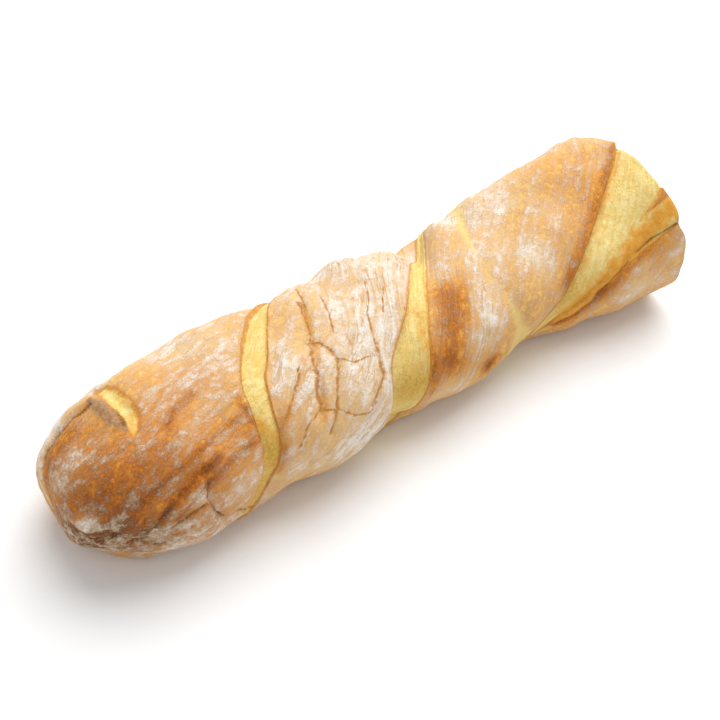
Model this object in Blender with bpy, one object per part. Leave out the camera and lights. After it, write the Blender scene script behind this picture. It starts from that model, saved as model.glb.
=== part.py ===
"""A twisted country baguette lying on its underside, with its far end cut off square.

Sizes are in millimetres and degrees, and are scaled to metres when the mesh is made. x runs along the loaf,
from the rounded end at -150 to the cut at +150. Round the loaf, an angle of 0 is the crown, 90 is the front
(-Y) and 180 the underside. The dough was twisted, so two seams wind along the loaf, and the rings of the mesh
turn with them: the edge of each seam is a line of the mesh, and its lip is a true step.
"""

import math

import bmesh
import bpy
import numpy as np
from mathutils import Matrix

MM = 0.001

LENGTH = 300.0
TIP_X = -LENGTH / 2
CUT_X = LENGTH / 2

# Moves the loaf so that the frame's origin is under the middle of its box.
FRAME_SHIFT = (0.3, 1.4, 0.0)

# The base section is a superellipse that sits low enough for the floor to flatten its belly.
SECTION_POWER = 2.25
CENTRE_HEIGHT = 0.47
CROWN_SHARE = 0.53
BELLY_SHARE = 0.55

# The rounded end: the length over which the section shrinks, how blunt it is, and how far its middle sinks.
TIP_ROUND = 38.0
TIP_POWER = 2.8
TIP_SINK = 0.1

# x, half width, height, sideways shift
STATIONS = (
    (-150, 37.0, 55.0, 2.0),
    (-110, 41.5, 61.0, -1.0),
    (-75, 40.5, 60.0, 0.0),
    (-37.5, 41.5, 61.5, -2.0),
    (0, 40.5, 60.0, -0.5),
    (37.5, 37.5, 55.5, -0.5),
    (75, 37.5, 55.5, 2.0),
    (110, 40.5, 60.0, 1.5),
    (150, 44.5, 65.0, -1.5),
)

# Each seam winds towards the rounded end as its angle grows past 360.
# angle, x of the left edge, x of the right edge, depth of the valley it lies in,
# step down on the left and right edge, and how far the dough between the edges swelled up
FAR_SEAM = (
    (-70, 186, 222, 0.0, 1.0, 0.6, 2.5),
    (-28, 158, 192, 0.5, 2.0, 1.0, 2.5),
    (-5, 145, 178, 1.0, 2.2, 1.0, 2.5),
    (15, 132, 166, 2.0, 2.4, 1.2, 2.5),
    (35, 119, 151, 3.0, 2.4, 1.2, 2.0),
    (55, 105, 133, 3.5, 2.2, 1.2, 1.5),
    (75, 92, 114, 4.0, 1.8, 0.8, 1.0),
    (95, 79, 97, 4.5, 1.5, 0.6, 0.8),
    (112, 70, 82, 4.5, 1.0, 0.5, 0.5),
    (150, 50, 57, 4.0, 0.8, 0.6, 0.0),
    (180, 35, 41, 3.5, 0.8, 0.6, 0.0),
    (220, 14, 20, 3.0, 1.0, 0.8, 0.0),
    (260, -8, -1, 2.5, 1.0, 1.0, 0.0),
    (302, -32, -22, 2.0, 1.2, 1.2, 0.6),
    (315, -41, -31, 2.0, 1.4, 1.4, 0.6),
    (350, -56, -44, 2.0, 1.6, 1.6, 0.6),
    (365, -61, -48, 2.0, 1.6, 1.6, 0.6),
    (380, -65.5, -55, 2.0, 1.4, 1.2, 0.6),
    (404, -68.2, -60, 2.0, 0.9, 0.9, 0.6),
    (420, -69.9, -61.5, 2.0, 0.6, 0.6, 0.0),
    (433, -71.4, -63.5, 2.5, 0.6, 0.6, 0.0),
    (446, -73.6, -67, 2.5, 0.6, 0.6, 0.0),
    (460, -80.5, -73, 2.5, 0.6, 0.6, 0.0),
    (475, -90, -82, 2.5, 0.6, 0.6, 0.0),
    (500, -110, -102, 2.0, 0.4, 0.4, 0.0),
    (560, -138, -132, 1.0, 0.0, 0.0, 0.0),
    (640, -156, -153, 0.0, 0.0, 0.0, 0.0),
)
MID_SEAM = (
    (-260, 166, 170, 2.5, 0.6, 0.6, 0.0),
    (-230, 148, 152, 2.5, 0.6, 0.6, 0.0),
    (-200, 132, 136, 2.5, 0.7, 0.7, 0.0),
    (-150, 104, 109, 3.0, 0.9, 0.9, 0.0),
    (-100, 76, 80, 3.5, 1.0, 0.8, 0.0),
    (-58, 50, 53, 6.0, 1.0, 0.5, 0.0),
    (-40, 43, 46.5, 5.5, 1.2, 0.4, 0.0),
    (-15, 34.2, 40, 4.0, 1.6, 0.4, 0.0),
    (5, 25.8, 33.2, 3.0, 2.0, 0.4, 0.0),
    (25, 16.4, 26.6, 2.5, 2.3, 0.4, 0.6),
    (40, 7, 21.4, 2.5, 2.5, 0.4, 0.6),
    (55, -2.8, 17, 2.5, 2.5, 0.4, 0.6),
    (70, -6, 13.8, 3.0, 2.2, 0.4, 0.6),
    (85, -7.7, 11.4, 3.4, 1.8, 0.4, 0.6),
    (100, -9.8, 9.2, 3.8, 1.3, 0.4, 0.2),
    (115, -15, 6.4, 4.0, 1.0, 0.4, 0.0),
    (130, -26, 0, 4.0, 0.8, 0.4, 0.0),
    (160, -50, -38, 3.5, 0.7, 0.5, 0.0),
    (200, -68, -60, 3.0, 0.8, 0.6, 0.0),
    (250, -88, -82, 2.5, 0.8, 0.6, 0.0),
    (290, -103, -98, 2.0, 0.6, 0.5, 0.0),
    (308, -109, -105, 1.5, 0.4, 0.4, 0.0),
    (325, -114, -111, 0.5, 0.0, 0.0, 0.0),
    (345, -119, -116, 0.0, 0.0, 0.0, 0.0),
    (400, -133, -131, 0.0, 0.0, 0.0, 0.0),
    (460, -146, -145, 0.0, 0.0, 0.0, 0.0),
    (520, -156, -155.5, 0.0, 0.0, 0.0, 0.0),
)

# A seam's edge is laid out every few degrees and smoothed over several of these steps. The small drift keeps
# its x falling all the way.
SEAM_STEP = 2.0
SEAM_ROUNDING = 7
SEAM_DRIFT = 0.0001

# How far the valley and the lips reach from a seam, the lips' height as a share of the step, and the width
# of the step
VALLEY_SPREAD = 11.0
LIP_SPREAD = 3.5
LIP_SHARE = 0.4
LIP_WALL = 0.5

# The tray pressed the underside flat: this close to it, seams and bulges fade away.
FLOOR_BLEND = 7.0

# A shallow fold that the twist left between the two seams at the far end: angle, x, reach, depth
FOLD = (
    (-110, 104, 5, 0.0),
    (-65, 79, 5, 1.2),
    (-30, 69, 5, 1.6),
    (0, 62, 4, 1.0),
    (40, 61, 4, 0.8),
    (70, 63, 6, 1.6),
    (100, 66, 8, 2.2),
    (140, 54, 6, 1.6),
    (190, 30, 5, 0.0),
)

# Where the dough swelled or sank: x, angle, reach along x, reach in degrees, height
BULGES = (
    (-144, 130, 9, 30, -2.5),
    (-138, -60, 14, 40, -4.0),
    (-118, -62, 8, 25, -2.0),
    (-66, -58, 14, 35, 2.0),
    (-47, -60, 7, 25, 1.2),
    (-4, -60, 8, 35, -3.5),
    (12, -58, 9, 35, 2.0),
    (42, -58, 8, 30, -6.0),
    (60, -64, 6, 30, 3.0),
    (70, -58, 8, 30, -3.5),
    (106, -64, 12, 30, -1.0),
    (136, -66, 10, 30, -2.0),
    (150, -60, 8, 30, -3.0),
    (150, -15, 8, 20, 1.2),
    (150, 36, 9, 28, 4.2),
    (150, 70, 8, 24, 2.2),
    (-122, 130, 9, 25, -1.2),
    (-138, 112, 12, 35, -7.0),
    (-116, 112, 12, 35, -3.0),
    (-82, 112, 8, 30, 1.5),
    (-55, 112, 12, 35, -1.5),
    (-18, 105, 7, 30, -1.5),
    (-4, 108, 8, 30, -5.5),
    (14, 112, 9, 30, -2.5),
    (40, 110, 10, 30, 1.0),
    (72, 110, 10, 30, 1.5),
    (100, 112, 7, 30, 0.8),
    (118, 112, 10, 35, 2.8),
)

# Creases deep enough to feel: reach, depth, then the (x, angle) points that each runs through
CREASES = (
    (2.6, 1.6, ((-131, 100), (-124, 84), (-117, 68), (-108, 58), (-98, 56))),
    (2.2, 1.4, ((-98, 58), (-99, 72), (-97, 92), (-93, 104))),
    (2.2, 1.2, ((-118, 86), (-110, 80), (-103, 78))),
    (2.4, 1.8, ((-139, 80), (-134, 92), (-122, 98), (-112, 102))),
    (2.2, 1.1, ((-19, -32), (-25, -5), (-31, 12), (-37, 32), (-41, 58))),
    (2.0, 0.9, ((-31, 12), (-25, 34), (-33, 55), (-42, 74))),
    (2.2, 1.4, ((148, 59), (136, 65), (122, 76), (108, 92))),
    (2.4, 1.6, ((-146, -46), (-138, -44), (-128, -39), (-121, -29))),
)

# A flap of crust near the rounded end, and the pale split that opened beside it: reach, height, points
FLAP = (3.0, 2.2, ((-120, -32), (-117.5, -15), (-116.5, 0)))
SPLIT = (3.2, -2.4, ((-114, -47), (-112, -32), (-111, -15), (-110.5, 0), (-113, 9)))

# Round lumps on the end: the x, angle of the middle, the reach and the height of each
KNOBS = (
    (-145.5, 62, 5.5, 3.4),
    (-136, 108, 7.0, 2.4),
)

# Soft unevenness of the whole loaf
LUMP_SEED = 11
LUMP_WAVES = 24
LUMP_LONGEST = 70.0
LUMP_SHORTEST = 26.0
LUMP_HEIGHT = 0.8

# The knife tore the crust back a little at the cut: angle, reach in degrees, length torn off
TORN = (
    (-46, 16, 3.0),
    (61, 5, 2.0),
    (104, 16, 0.5),
    (165, 20, 1.5),
    (235, 12, 2.0),
)
TORN_REACH = 22.0
RIM_INSET = 3.2

# Rings along the loaf, and columns round it in each stretch between the seams' edges
TIP_RINGS = 14
BODY_RINGS = 84
FIRST_RING_TURN = 0.2
WIDE_SEAM_COLUMNS = 4
NARROW_SEAM_COLUMNS = 3
LOBE_COLUMNS = 16

# Stretches where a seam runs almost straight round the loaf, so that its edge turns fast from ring to ring:
# the rings lie closer together there. x of the first, x of the last, spacing
CLOSE_RINGS = (
    (-73.5, -60.5, 1.0),
    (-12.0, -4.0, 1.0),
)

# Bubbles that the knife opened in the crumb: y, z, half size across, half size up, depth, tilt
BUBBLES = (
    (6.0, 24.0, 10.5, 8.0, 4.5, 12),
    (-24.0, 22.5, 5.2, 6.8, 4.5, -28),
    (25.0, 41.0, 5.0, 4.4, 4.2, 30),
    (-11.0, 45.0, 2.8, 5.2, 3.4, -8),
    (3.5, 46.5, 2.6, 4.6, 3.0, 6),
    (29.5, 27.0, 3.6, 2.6, 3.0, 0),
    (-27.0, 37.0, 3.2, 2.2, 2.8, 24),
    (-8.5, 30.5, 2.4, 3.8, 2.6, -20),
    (17.5, 12.0, 3.4, 2.0, 2.6, -10),
    (-13.0, 12.5, 3.8, 2.2, 2.8, 8),
    (14.0, 51.5, 3.0, 2.2, 2.6, -20),
    (19.0, 31.5, 2.2, 3.2, 2.4, 14),
)
BUBBLE_FACETS = 2
BUBBLE_SINK = 0.25

CRUST_COLOUR = (0.72, 0.42, 0.17, 1.0)
CRUST_ROUGHNESS = 0.75
SHARP_ANGLE = 40


def smooth_curve(x, points, column):
    """A smooth line through a column of a table, with x in its first column."""
    table = np.array(points, float)
    xs, ys = table[:, 0], table[:, column]
    slope = np.gradient(ys, xs)
    x = np.clip(x, xs[0], xs[-1])
    i = np.clip(np.searchsorted(xs, x) - 1, 0, len(xs) - 2)
    step = xs[i + 1] - xs[i]
    t = (x - xs[i]) / step
    start = (1 + 2 * t) * (1 - t) ** 2 * ys[i] + t * (1 - t) ** 2 * step * slope[i]
    end = t * t * (3 - 2 * t) * ys[i + 1] + t * t * (t - 1) * step * slope[i + 1]
    return start + end


def seam_value(angle, seam, column):
    table = np.array(seam, float)
    return np.interp(angle, table[:, 0], table[:, column])


def edge_angles(x, seam):
    """The angles at which a ring at x meets the seam's left and right edges."""
    angles = np.arange(seam[0][0], seam[-1][0] + 1, SEAM_STEP)
    found = []
    for column in (1, 2):
        along = seam_value(angles, seam, column)
        half = SEAM_ROUNDING // 2
        padded = np.pad(along, half, mode="reflect", reflect_type="odd")
        along = np.convolve(padded, np.ones(SEAM_ROUNDING) / SEAM_ROUNDING, mode="valid")
        along = np.minimum.accumulate(along - SEAM_DRIFT * np.arange(len(along)))
        found.append(np.interp(x, along[::-1], angles[::-1]))
    return found


def base_radius(x, angle):
    """The plain section's radius round its centre."""
    half_width = smooth_curve(x, STATIONS, 1)
    height = smooth_curve(x, STATIONS, 2)
    side = np.abs(np.sin(np.radians(angle))) / half_width
    up = np.cos(np.radians(angle))
    rise = np.abs(up) / (np.where(up > 0, CROWN_SHARE, BELLY_SHARE) * height)
    return (side**SECTION_POWER + rise**SECTION_POWER) ** (-1 / SECTION_POWER)


def end_share(x):
    """How much of the full section is left near the rounded end."""
    in_from_tip = np.clip((x - TIP_X) / TIP_ROUND, 0, 1)
    return (1 - (1 - in_from_tip) ** TIP_POWER) ** (1 / TIP_POWER)


def seam_relief(x, angle, seam, radius):
    """The seam's valley, its sunken floor and the lips beside it."""
    left, right = edge_angles(x, seam)
    middle = (left + right) / 2
    angle = angle + 360 * np.round((middle - angle) / 360)
    before = np.radians(left - angle) * radius
    after = np.radians(angle - right) * radius
    outside = np.maximum(np.maximum(before, after), 0)
    left_step = seam_value(middle, seam, 4)
    right_step = seam_value(middle, seam, 5)
    across = np.clip((angle - left) / np.maximum(right - left, 0.1), 0, 1)
    swell = seam_value(middle, seam, 6) * np.sin(math.pi * across)
    sunken = swell - (left_step + (right_step - left_step) * across)
    step = np.where(before > 0, left_step, right_step)
    lips = LIP_SHARE * step * np.exp(-((outside / LIP_SPREAD) ** 2))
    valley = seam_value(middle, seam, 3) * np.exp(-((outside / VALLEY_SPREAD) ** 2))
    return np.where(outside > 0, lips, sunken) - valley


def swelling(x, angle):
    """The bulges and the shallow fold, which change the outline."""
    total = np.zeros(np.broadcast(x, angle).shape)
    for at_x, at_angle, reach_x, reach_angle, height in BULGES:
        turn = (angle - at_angle + 180) % 360 - 180
        total += height * np.exp(-(((x - at_x) / reach_x) ** 2) - (turn / reach_angle) ** 2)
    fold = np.array(FOLD, float)
    turned = (angle + 130) % 360 - 130
    fold_x, reach, depth = (np.interp(turned, fold[:, 0], fold[:, k]) for k in (1, 2, 3))
    return total - depth * np.exp(-(((x - fold_x) / reach) ** 2))


def centre_line(x):
    """The section's centre: its sideways place and its height."""
    sink = 1 - TIP_SINK * (1 - end_share(x))
    return smooth_curve(x, STATIONS, 3), CENTRE_HEIGHT * smooth_curve(x, STATIONS, 2) * sink


def above_floor(x, angle):
    """Falls from 1 to 0 where the plain form comes down to the floor."""
    z = centre_line(x)[1] + base_radius(x, angle) * end_share(x) * np.cos(np.radians(angle))
    rise = np.clip(z / FLOOR_BLEND, 0, 1)
    return rise * rise * (3 - 2 * rise)


def skin(x, angle, relief_share=1.0):
    """Points of the crust, before its creases and lumps."""
    radius = base_radius(x, angle)
    relief = swelling(x, angle)
    for seam in (FAR_SEAM, MID_SEAM):
        relief = relief + seam_relief(x, angle, seam, radius)
    radius = (radius + relief * relief_share * above_floor(x, angle)) * end_share(x)
    y, z = centre_line(x)
    turn = np.radians(angle)
    return np.stack([x + 0 * radius, y - radius * np.sin(turn), z + radius * np.cos(turn)], -1)


def lumps(points):
    """Waves of many directions and lengths, summed."""
    draw = np.random.default_rng(LUMP_SEED)
    total = np.zeros(points.shape[:-1])
    for _ in range(LUMP_WAVES):
        way = draw.normal(size=3)
        way *= 2 * math.pi / (np.linalg.norm(way) * draw.uniform(LUMP_SHORTEST, LUMP_LONGEST))
        total += np.sin(points @ way + draw.uniform(0, 2 * math.pi))
    return LUMP_HEIGHT * total / math.sqrt(LUMP_WAVES / 2)


def nearest_on_path(points, path):
    """Distance from each point to a line through path's points."""
    best = np.full(points.shape[:-1], np.inf)
    for start, end in zip(path[:-1], path[1:]):
        way = end - start
        along = np.clip(((points - start) @ way) / (way @ way), 0, 1)
        best = np.minimum(best, np.linalg.norm(points - start - along[..., None] * way, axis=-1))
    return best


def fine_relief(points):
    """Lumps, knobs and creases, as heights along the surface's normal."""
    height = lumps(points)
    for at_x, at_angle, reach, rise in KNOBS:
        middle = skin(np.array(float(at_x)), np.array(float(at_angle)))
        height += rise * np.exp(-((np.linalg.norm(points - middle, axis=-1) / reach) ** 2))
    creases = [(reach, -depth, places) for reach, depth, places in CREASES]
    for reach, rise, places in (*creases, FLAP, SPLIT):
        path = [skin(np.array(float(x)), np.array(float(angle))) for x, angle in places]
        height += rise * np.exp(-((nearest_on_path(points, path) / reach) ** 2))
    return height


def ring_places():
    """Where the rings lie along x: close together where the end rounds off or a seam turns fast."""
    turn = np.linspace(FIRST_RING_TURN, math.pi / 2, TIP_RINGS)
    tip = TIP_X + TIP_ROUND * (1 - np.cos(turn))
    places = np.concatenate([tip, np.linspace(tip[-1], CUT_X, BODY_RINGS + 1)[1:]])
    for first, last, spacing in CLOSE_RINGS:
        kept = places[(places < first - spacing / 2) | (places > last + spacing / 2)]
        places = np.concatenate([kept, np.arange(first, last + spacing / 2, spacing)])
    return np.sort(places)


def seam_columns(left, right, count, radius):
    """Angles across a seam: a wall on each edge, and count stretches between the walls."""
    wall = math.degrees(LIP_WALL / 2 / radius)
    inner = np.linspace(left + wall, right - wall, count + 1) if right - left > 3 * wall else None
    if inner is None:
        middle = (left + right) / 2
        inner = np.linspace(middle - wall / 4, middle + wall / 4, count + 1)
    return [min(left, inner[0]) - wall, *inner, max(right, inner[-1]) + wall]


def ring_angles(x):
    """The angles of one ring's columns, which follow both seams."""
    far_left, far_right = edge_angles(x, FAR_SEAM)
    mid_left, mid_right = edge_angles(x, MID_SEAM)
    radius = float(base_radius(x, 90.0) * end_share(x))
    mid = seam_columns(mid_left, mid_right, NARROW_SEAM_COLUMNS, radius)
    far = seam_columns(far_left, far_right, WIDE_SEAM_COLUMNS, radius)
    first_lobe = np.linspace(mid[-1], far[0], LOBE_COLUMNS + 1)[1:-1]
    second_lobe = np.linspace(far[-1], mid[0] + 360, LOBE_COLUMNS + 1)[1:-1]
    return np.array([*mid, *first_lobe, *far, *second_lobe])


def outward_normals(grid):
    """Unit normals of a grid of rings, closed round each ring."""
    along = np.gradient(grid, axis=0)
    round_ring = np.roll(grid, -1, axis=1) - np.roll(grid, 1, axis=1)
    normal = np.cross(round_ring, along)
    return normal / np.maximum(np.linalg.norm(normal, axis=-1, keepdims=True), 1e-9)


def torn_back(x, angle):
    """How far the rim is pulled back from the cut."""
    total = np.zeros(np.broadcast(x, angle).shape)
    for at_angle, reach, length in TORN:
        turn = (angle - at_angle + 180) % 360 - 180
        total += length * np.exp(-((turn / reach) ** 2))
    return total * np.clip(1 + (x - CUT_X) / TORN_REACH, 0, 1) ** 2


def crust_grid():
    """All the rings' points, with the underside flat on the floor."""
    places = ring_places()
    angles = np.array([ring_angles(x) for x in places])
    places = places[:, None]
    grid = skin(places, angles)
    fine = fine_relief(grid) * above_floor(places, angles)
    grid = grid + outward_normals(skin(places, angles, relief_share=0.0)) * fine[..., None]
    grid[-1, :, 0] = CUT_X
    grid[..., 0] -= torn_back(places, angles)
    grid[..., 2] = np.maximum(grid[..., 2], 0)
    return grid


def cut_edge(rim):
    """The line where the crumb's flat face meets the crust, just inside the rim."""
    y, z = centre_line(np.array(CUT_X))
    middle = np.array([CUT_X, float(y), float(z)])
    out = rim - middle
    out[:, 0] = 0
    return middle + out * (1 - RIM_INSET / np.linalg.norm(out, axis=1, keepdims=True))


def loaf_mesh():
    """One closed mesh: a fan at the tip, the rings, and one face at the cut."""
    grid = crust_grid()
    grid = (np.concatenate([grid, cut_edge(grid[-1])[None]]) + FRAME_SHIFT) * MM
    tip_y, tip_z = centre_line(np.array(TIP_X))
    made = bmesh.new()
    tip = made.verts.new((np.array([TIP_X, float(tip_y), float(tip_z)]) + FRAME_SHIFT) * MM)
    rings = [[made.verts.new(point) for point in ring] for ring in grid]
    count = len(rings[0])
    for k in range(count):
        after = (k + 1) % count
        made.faces.new((tip, rings[0][after], rings[0][k]))
        for here, onward in zip(rings[:-1], rings[1:]):
            made.faces.new((here[k], here[after], onward[after], onward[k]))
    made.faces.new(rings[-1])
    bmesh.ops.recalc_face_normals(made, faces=made.faces)
    mesh = bpy.data.meshes.new("loaf")
    made.to_mesh(mesh)
    made.free()
    return mesh


def crust_material():
    material = bpy.data.materials.new("crust")
    material.use_nodes = True
    shader = material.node_tree.nodes["Principled BSDF"]
    shader.inputs["Base Color"].default_value = CRUST_COLOUR
    shader.inputs["Roughness"].default_value = CRUST_ROUGHNESS
    return material


def make_loaf():
    mesh = loaf_mesh()
    mesh.shade_smooth()
    mesh.set_sharp_from_angle(angle=math.radians(SHARP_ANGLE))
    mesh.materials.append(crust_material())
    loaf = bpy.data.objects.new("loaf", mesh)
    bpy.context.scene.collection.objects.link(loaf)
    return loaf


def make_bubbles():
    """Cutters for the open bubbles: ovals that lie a little behind the cut."""
    cutters = bpy.data.collections.new("bubble_cutters")
    bpy.context.scene.collection.children.link(cutters)
    for number, (y, z, across, up, depth, tilt) in enumerate(BUBBLES):
        made = bmesh.new()
        bmesh.ops.create_icosphere(made, subdivisions=BUBBLE_FACETS, radius=1.0)
        middle = np.array([CUT_X - BUBBLE_SINK * depth, y, z]) + FRAME_SHIFT
        place = Matrix.Translation(middle * MM)
        turn = Matrix.Rotation(math.radians(tilt), 4, "X")
        stretch = Matrix.Diagonal((depth * MM, across * MM, up * MM, 1))
        bmesh.ops.transform(made, matrix=place @ turn @ stretch, verts=made.verts)
        mesh = bpy.data.meshes.new(f"bubble_{number}")
        made.to_mesh(mesh)
        made.free()
        cutter = bpy.data.objects.new(f"bubble_{number}", mesh)
        cutter.hide_render = True
        cutter.display_type = "WIRE"
        cutters.objects.link(cutter)
    return cutters


def open_bubbles(loaf, cutters):
    cut = loaf.modifiers.new("open bubbles", "BOOLEAN")
    cut.operation = "DIFFERENCE"
    cut.solver = "EXACT"
    cut.operand_type = "COLLECTION"
    cut.collection = cutters


def main():
    for old in list(bpy.data.objects):
        bpy.data.objects.remove(old)
    open_bubbles(make_loaf(), make_bubbles())


main()
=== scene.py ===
"""The looks of a twisted country baguette: a floured crust with pale splits, and open crumb at the cut.

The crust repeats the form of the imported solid, with the same seams on a finer grid, and adds wrinkles, cracks
and the crumb. Sizes are in millimetres and degrees until a mesh is made. x runs along the loaf from its
rounded end to the cut. An angle of 0 is the crown, 90 the front (-Y) and 180 the underside.
"""

import math

import bmesh
import bpy
import numpy as np
import openvdb
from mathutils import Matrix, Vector


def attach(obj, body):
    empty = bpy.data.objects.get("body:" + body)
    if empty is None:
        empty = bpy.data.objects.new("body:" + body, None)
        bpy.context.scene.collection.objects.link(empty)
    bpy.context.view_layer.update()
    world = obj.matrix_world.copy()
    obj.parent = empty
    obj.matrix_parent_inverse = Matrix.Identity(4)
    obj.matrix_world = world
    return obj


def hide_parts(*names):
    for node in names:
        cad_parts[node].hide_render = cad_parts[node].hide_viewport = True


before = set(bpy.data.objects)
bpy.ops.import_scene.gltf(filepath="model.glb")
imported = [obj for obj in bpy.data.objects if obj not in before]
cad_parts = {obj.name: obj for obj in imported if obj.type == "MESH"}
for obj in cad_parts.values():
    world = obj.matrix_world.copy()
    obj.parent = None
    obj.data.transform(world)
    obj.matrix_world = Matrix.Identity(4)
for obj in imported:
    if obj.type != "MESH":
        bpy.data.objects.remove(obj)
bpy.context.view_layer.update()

MM = 0.001

# The form of the loaf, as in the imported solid

LENGTH = 300.0
TIP_X = -LENGTH / 2
CUT_X = LENGTH / 2

# Moves the loaf so that the frame's origin is under the middle of its box.
FRAME_SHIFT = np.array([0.3, 1.4, 0.0])

# The base section is a superellipse that sits low enough for the floor to flatten its belly.
SECTION_POWER = 2.25
CENTRE_HEIGHT = 0.47
CROWN_SHARE = 0.53
BELLY_SHARE = 0.55

# The rounded end: the length over which the section shrinks, how blunt it is, and how far its middle sinks
TIP_ROUND = 38.0
TIP_POWER = 2.8
TIP_SINK = 0.1

# x, half width, height, sideways shift
STATIONS = (
    (-150, 37.0, 55.0, 2.0),
    (-110, 41.5, 61.0, -1.0),
    (-75, 40.5, 60.0, 0.0),
    (-37.5, 41.5, 61.5, -2.0),
    (0, 40.5, 60.0, -0.5),
    (37.5, 37.5, 55.5, -0.5),
    (75, 37.5, 55.5, 2.0),
    (110, 40.5, 60.0, 1.5),
    (150, 44.5, 65.0, -1.5),
)

# Each seam winds towards the rounded end as its angle grows past 360.
# angle, x of the left edge, x of the right edge, depth of the valley it lies in,
# step down on the left and right edge, and how far the dough between the edges swelled up
FAR_SEAM = (
    (-70, 186, 222, 0.0, 1.0, 0.6, 2.5),
    (-28, 158, 192, 0.5, 2.0, 1.0, 2.5),
    (-5, 145, 178, 1.0, 2.2, 1.0, 2.5),
    (15, 132, 166, 2.0, 2.4, 1.2, 2.5),
    (35, 119, 151, 3.0, 2.4, 1.2, 2.0),
    (55, 105, 133, 3.5, 2.2, 1.2, 1.5),
    (75, 92, 114, 4.0, 1.8, 0.8, 1.0),
    (95, 79, 97, 4.5, 1.5, 0.6, 0.8),
    (112, 70, 82, 4.5, 1.0, 0.5, 0.5),
    (150, 50, 57, 4.0, 0.8, 0.6, 0.0),
    (180, 35, 41, 3.5, 0.8, 0.6, 0.0),
    (220, 14, 20, 3.0, 1.0, 0.8, 0.0),
    (260, -8, -1, 2.5, 1.0, 1.0, 0.0),
    (302, -32, -22, 2.0, 1.2, 1.2, 0.6),
    (315, -41, -31, 2.0, 1.4, 1.4, 0.6),
    (350, -56, -44, 2.0, 1.6, 1.6, 0.6),
    (365, -61, -48, 2.0, 1.6, 1.6, 0.6),
    (380, -65.5, -55, 2.0, 1.4, 1.2, 0.6),
    (404, -68.2, -60, 2.0, 0.9, 0.9, 0.6),
    (420, -69.9, -61.5, 2.0, 0.6, 0.6, 0.0),
    (433, -71.4, -63.5, 2.5, 0.6, 0.6, 0.0),
    (446, -73.6, -67, 2.5, 0.6, 0.6, 0.0),
    (460, -80.5, -73, 2.5, 0.6, 0.6, 0.0),
    (475, -90, -82, 2.5, 0.6, 0.6, 0.0),
    (500, -110, -102, 2.0, 0.4, 0.4, 0.0),
    (560, -138, -132, 1.0, 0.0, 0.0, 0.0),
    (640, -156, -153, 0.0, 0.0, 0.0, 0.0),
)
MID_SEAM = (
    (-260, 166, 170, 2.5, 0.6, 0.6, 0.0),
    (-230, 148, 152, 2.5, 0.6, 0.6, 0.0),
    (-200, 132, 136, 2.5, 0.7, 0.7, 0.0),
    (-150, 104, 109, 3.0, 0.9, 0.9, 0.0),
    (-100, 76, 80, 3.5, 1.0, 0.8, 0.0),
    (-58, 50, 53, 6.0, 1.0, 0.5, 0.0),
    (-40, 43, 46.5, 5.5, 1.2, 0.4, 0.0),
    (-15, 34.2, 40, 4.0, 1.6, 0.4, 0.0),
    (5, 25.8, 33.2, 3.0, 2.0, 0.4, 0.0),
    (25, 16.4, 26.6, 2.5, 2.3, 0.4, 0.6),
    (40, 7, 21.4, 2.5, 2.5, 0.4, 0.6),
    (55, -2.8, 17, 2.5, 2.5, 0.4, 0.6),
    (70, -6, 13.8, 3.0, 2.2, 0.4, 0.6),
    (85, -7.7, 11.4, 3.4, 1.8, 0.4, 0.6),
    (100, -9.8, 9.2, 3.8, 1.3, 0.4, 0.2),
    (115, -15, 6.4, 4.0, 1.0, 0.4, 0.0),
    (130, -26, 0, 4.0, 0.8, 0.4, 0.0),
    (160, -50, -38, 3.5, 0.7, 0.5, 0.0),
    (200, -68, -60, 3.0, 0.8, 0.6, 0.0),
    (250, -88, -82, 2.5, 0.8, 0.6, 0.0),
    (290, -103, -98, 2.0, 0.6, 0.5, 0.0),
    (308, -109, -105, 1.5, 0.4, 0.4, 0.0),
    (325, -114, -111, 0.5, 0.0, 0.0, 0.0),
    (345, -119, -116, 0.0, 0.0, 0.0, 0.0),
    (400, -133, -131, 0.0, 0.0, 0.0, 0.0),
    (460, -146, -145, 0.0, 0.0, 0.0, 0.0),
    (520, -156, -155.5, 0.0, 0.0, 0.0, 0.0),
)

# A seam's edge is laid out every few degrees and smoothed over several of these steps. The small drift keeps
# its x falling all the way. A closed seam still counts as a little wide, in degrees.
SEAM_STEP = 2.0
SEAM_ROUNDING = 7
SEAM_DRIFT = 0.0001
NARROWEST_SEAM = 0.1

# How far the valley and the lips reach from a seam, the lips' height as a share of the step, and the width
# of the step
VALLEY_SPREAD = 11.0
LIP_SPREAD = 3.5
LIP_SHARE = 0.4
LIP_WALL = 0.5

# The tray pressed the underside flat: this close to it, seams and bulges fade away.
FLOOR_BLEND = 7.0

# A shallow fold between the two seams at the far end: angle, x, reach, depth
FOLD = (
    (-110, 104, 5, 0.0),
    (-65, 79, 5, 1.2),
    (-30, 69, 5, 1.6),
    (0, 62, 4, 1.0),
    (40, 61, 4, 0.8),
    (70, 63, 6, 1.6),
    (100, 66, 8, 2.2),
    (140, 54, 6, 1.6),
    (190, 30, 5, 0.0),
)
FOLD_FIRST_ANGLE = -130

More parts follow.
